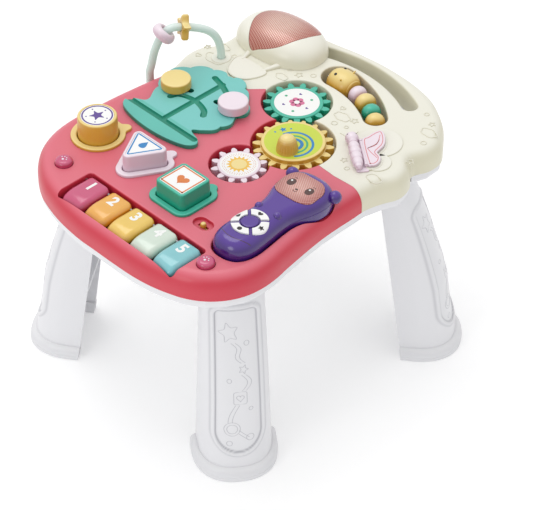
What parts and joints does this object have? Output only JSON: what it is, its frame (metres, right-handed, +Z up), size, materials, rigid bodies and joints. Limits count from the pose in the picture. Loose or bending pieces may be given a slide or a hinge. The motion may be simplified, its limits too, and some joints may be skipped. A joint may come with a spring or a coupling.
{
  "type": "activity table",
  "caption": "Toddler activity table on splayed legs, with piano keys, meshing gears, shape blocks, sliding knobs, bead hoop, flapping butterfly and play handset.",
  "frame": {"origin": "on the floor under the middle of the table top", "axes": "+Z up, +Y towards the carrying handle, -Y towards the piano keys"},
  "size_m": [0.3794, 0.4222, 0.3349],
  "materials": {
    "coral_plastic": "smooth gloss",
    "cream_plastic": "smooth gloss",
    "grey_plastic": "smooth gloss",
    "shoe_plastic": "satin",
    "rose_lens": "smooth gloss",
    "light_teal_plastic": "smooth gloss",
    "gold_plastic": "smooth gloss",
    "teal_plastic": "smooth gloss",
    "pink_plastic": "smooth gloss",
    "yellow_plastic": "smooth gloss",
    "magenta_plastic": "smooth gloss",
    "orange_plastic": "smooth gloss",
    "pale_green_plastic": "smooth gloss",
    "aqua_plastic": "smooth gloss",
    "mint_plastic": "smooth gloss",
    "purple_plastic": "smooth gloss",
    "white_plastic": "smooth gloss",
    "steel": "drawn wire",
    "black_rubber": "matt rubber",
    "black_plastic": "matt"
  },
  "bodies": {
    "table": {"balloon_dome": "cream_plastic", "balloon_lens": "rose_lens", "battery_door": "grey_plastic", "bead_hoop": "mint_plastic", "butterfly_body": "pink_plastic", "circle_seat": "gold_plastic", "cream_cover": "cream_plastic", "inchworm_wire": "steel", "key_pad_strip": "black_rubber", "key_rod": "steel", "left_button_spring": "steel", "leg_front_left": "grey_plastic", "leg_front_right": "grey_plastic", "leg_rear_left": "grey_plastic", "leg_rear_right": "grey_plastic", "lower_shell": "grey_plastic", "red_cover": "coral_plastic", "right_button_spring": "steel", "shoe_front_left": "shoe_plastic", "shoe_front_right": "shoe_plastic", "shoe_rear_left": "shoe_plastic", "shoe_rear_right": "shoe_plastic", "speaker": "black_plastic", "square_seat": "teal_plastic", "tree_plate": "light_teal_plastic", "triangle_seat": "pink_plastic"},
    "circle_block": {"circle_block": "gold_plastic"},
    "triangle_block": {"triangle_block": "pink_plastic"},
    "square_block": {"square_block": "teal_plastic"},
    "yellow_knob": {"yellow_knob": "yellow_plastic", "yellow_knob_shoe": "white_plastic"},
    "pink_knob": {"pink_knob": "pink_plastic", "pink_knob_shoe": "white_plastic"},
    "crank_gear": {"crank_gear": "gold_plastic"},
    "flower_gear": {"flower_gear": "teal_plastic"},
    "sun_gear": {"sun_gear": "pink_plastic"},
    "key_1": {"key_1": "magenta_plastic"},
    "key_2": {"key_2": "orange_plastic"},
    "key_3": {"key_3": "yellow_plastic"},
    "key_4": {"key_4": "pale_green_plastic"},
    "key_5": {"key_5": "aqua_plastic"},
    "left_button": {"left_button": "magenta_plastic"},
    "right_button": {"right_button": "magenta_plastic"},
    "power_slider": {"power_slider": "yellow_plastic"},
    "ring_bead": {"ring_bead": "pink_plastic"},
    "star_bead": {"star_bead": "yellow_plastic"},
    "inchworm_head": {"inchworm_head": "gold_plastic"},
    "inchworm_bead_1": {"inchworm_bead_1": "pink_plastic"},
    "inchworm_bead_2": {"inchworm_bead_2": "yellow_plastic"},
    "inchworm_bead_3": {"inchworm_bead_3": "teal_plastic"},
    "inchworm_bead_4": {"inchworm_bead_4": "gold_plastic"},
    "butterfly_wing": {"butterfly_wing": "pink_plastic"},
    "handset": {"handset_back": "purple_plastic", "handset_front": "purple_plastic", "handset_face": "rose_lens"},
    "handset_key_up": {"handset_key_up": "white_plastic"},
    "handset_key_right": {"handset_key_right": "white_plastic"},
    "handset_key_down": {"handset_key_down": "white_plastic"},
    "handset_key_left": {"handset_key_left": "white_plastic"},
    "handset_key_centre": {"handset_key_centre": "purple_plastic"}
  },
  "joints": [
    {"name": "circle_block_lift", "type": "slide", "parent": "table", "child": "circle_block", "axis": [0, 0, 1], "range_m": [0, 0.03]},
    {"name": "triangle_block_lift", "type": "slide", "parent": "table", "child": "triangle_block", "axis": [0, 0, 1], "range_m": [0, 0.03]},
    {"name": "square_block_lift", "type": "slide", "parent": "table", "child": "square_block", "axis": [0, 0, 1], "range_m": [0, 0.03]},
    {"name": "yellow_knob_slide", "type": "slide", "parent": "table", "child": "yellow_knob", "axis": [0.9259, 0.3777, 0], "range_m": [0, 0.0172]},
    {"name": "pink_knob_slide", "type": "slide", "parent": "table", "child": "pink_knob", "axis": [-0.985, -0.1726, 0], "range_m": [0, 0.0221]},
    {"name": "crank_gear_spin", "type": "hinge", "parent": "table", "child": "crank_gear", "pos_m": [0.03993, 0.0346, 0.259], "axis": [0, 0, 1], "continuous": true},
    {"name": "flower_gear_spin", "type": "hinge", "parent": "table", "child": "flower_gear", "pos_m": [-0.00967, 0.08874, 0.259], "axis": [0, 0, 1], "continuous": true},
    {"name": "sun_gear_spin", "type": "hinge", "parent": "table", "child": "sun_gear", "pos_m": [0.02526, -0.03051, 0.259], "axis": [0, 0, 1], "continuous": true},
    {"name": "key_1_press", "type": "hinge", "parent": "table", "child": "key_1", "pos_m": [-0.05216, -0.15866, 0.264], "axis": [1, 0, 0], "range_deg": [0, 4.5], "stiffness_Nm_per_rad": 0.3, "springref_deg": -3.44},
    {"name": "key_2_press", "type": "hinge", "parent": "table", "child": "key_2", "pos_m": [-0.01736, -0.15866, 0.264], "axis": [1, 0, 0], "range_deg": [0, 4.5], "stiffness_Nm_per_rad": 0.3, "springref_deg": -3.44},
    {"name": "key_3_press", "type": "hinge", "parent": "table", "child": "key_3", "pos_m": [0.01744, -0.15866, 0.264], "axis": [1, 0, 0], "range_deg": [0, 4.5], "stiffness_Nm_per_rad": 0.3, "springref_deg": -3.44},
    {"name": "key_4_press", "type": "hinge", "parent": "table", "child": "key_4", "pos_m": [0.05224, -0.15866, 0.264], "axis": [1, 0, 0], "range_deg": [0, 4.5], "stiffness_Nm_per_rad": 0.3, "springref_deg": -3.44},
    {"name": "key_5_press", "type": "hinge", "parent": "table", "child": "key_5", "pos_m": [0.08704, -0.15866, 0.264], "axis": [1, 0, 0], "range_deg": [0, 4.5], "stiffness_Nm_per_rad": 0.3, "springref_deg": -3.44},
    {"name": "left_button_press", "type": "slide", "parent": "table", "child": "left_button", "axis": [0, 0, -1], "range_m": [0, 0.003], "stiffness_N_per_m": 150, "springref_m": -0.002, "deforming": ["left_button_spring"]},
    {"name": "right_button_press", "type": "slide", "parent": "table", "child": "right_button", "axis": [0, 0, -1], "range_m": [0, 0.003], "stiffness_N_per_m": 150, "springref_m": -0.002, "deforming": ["right_button_spring"]},
    {"name": "power_slide", "type": "slide", "parent": "table", "child": "power_slider", "axis": [1, 0, 0], "range_m": [-0.003, 0.003]},
    {"name": "ring_bead_spin", "type": "hinge", "parent": "table", "child": "ring_bead", "pos_m": [-0.1539, 0.02729, 0.31566], "axis": [0.3064, 0.6126, 0.7286], "continuous": true},
    {"name": "star_bead_spin", "type": "hinge", "parent": "table", "child": "star_bead", "pos_m": [-0.14365, 0.04778, 0.3198], "axis": [0.4394, 0.8785, -0.1876], "continuous": true},
    {"name": "inchworm_head_spin", "type": "hinge", "parent": "table", "child": "inchworm_head", "pos_m": [-0.00293, 0.1534, 0.263], "axis": [0.9995, -0.0324, 0], "continuous": true},
    {"name": "inchworm_bead_1_spin", "type": "hinge", "parent": "table", "child": "inchworm_bead_1", "pos_m": [0.02221, 0.15011, 0.263], "axis": [0.9741, -0.2259, 0], "continuous": true},
    {"name": "inchworm_bead_2_spin", "type": "hinge", "parent": "table", "child": "inchworm_bead_2", "pos_m": [0.03866, 0.14512, 0.263], "axis": [0.9358, -0.3525, 0], "continuous": true},
    {"name": "inchworm_bead_3_spin", "type": "hinge", "parent": "table", "child": "inchworm_bead_3", "pos_m": [0.05466, 0.13783, 0.263], "axis": [0.8796, -0.4757, 0], "continuous": true},
    {"name": "inchworm_bead_4_spin", "type": "hinge", "parent": "table", "child": "inchworm_bead_4", "pos_m": [0.06937, 0.12855, 0.263], "axis": [0.8082, -0.5888, 0], "continuous": true},
    {"name": "butterfly_wing_flap", "type": "hinge", "parent": "table", "child": "butterfly_wing", "pos_m": [0.09207, 0.08271, 0.2743], "axis": [0.7997, -0.6004, 0], "range_deg": [0, 95]},
    {"name": "handset_lift", "type": "slide", "parent": "table", "child": "handset", "axis": [0, 0, 1], "range_m": [0, 0.04]},
    {"name": "handset_key_up_press", "type": "slide", "parent": "handset", "child": "handset_key_up", "axis": [0, 0, -1], "range_m": [0, 0.0012], "stiffness_N_per_m": 200, "springref_m": -0.001},
    {"name": "handset_key_right_press", "type": "slide", "parent": "handset", "child": "handset_key_right", "axis": [0, 0, -1], "range_m": [0, 0.0012], "stiffness_N_per_m": 200, "springref_m": -0.001},
    {"name": "handset_key_down_press", "type": "slide", "parent": "handset", "child": "handset_key_down", "axis": [0, 0, -1], "range_m": [0, 0.0012], "stiffness_N_per_m": 200, "springref_m": -0.001},
    {"name": "handset_key_left_press", "type": "slide", "parent": "handset", "child": "handset_key_left", "axis": [0, 0, -1], "range_m": [0, 0.0012], "stiffness_N_per_m": 200, "springref_m": -0.001},
    {"name": "handset_key_centre_press", "type": "slide", "parent": "handset", "child": "handset_key_centre", "axis": [0, 0, -1], "range_m": [0, 0.0012], "stiffness_N_per_m": 200, "springref_m": -0.001}
  ],
  "couplings": [
    {"joint": "flower_gear_spin", "follows": "crank_gear_spin", "ratio": -1.2},
    {"joint": "sun_gear_spin", "follows": "crank_gear_spin", "ratio": -1.5}
  ]
}
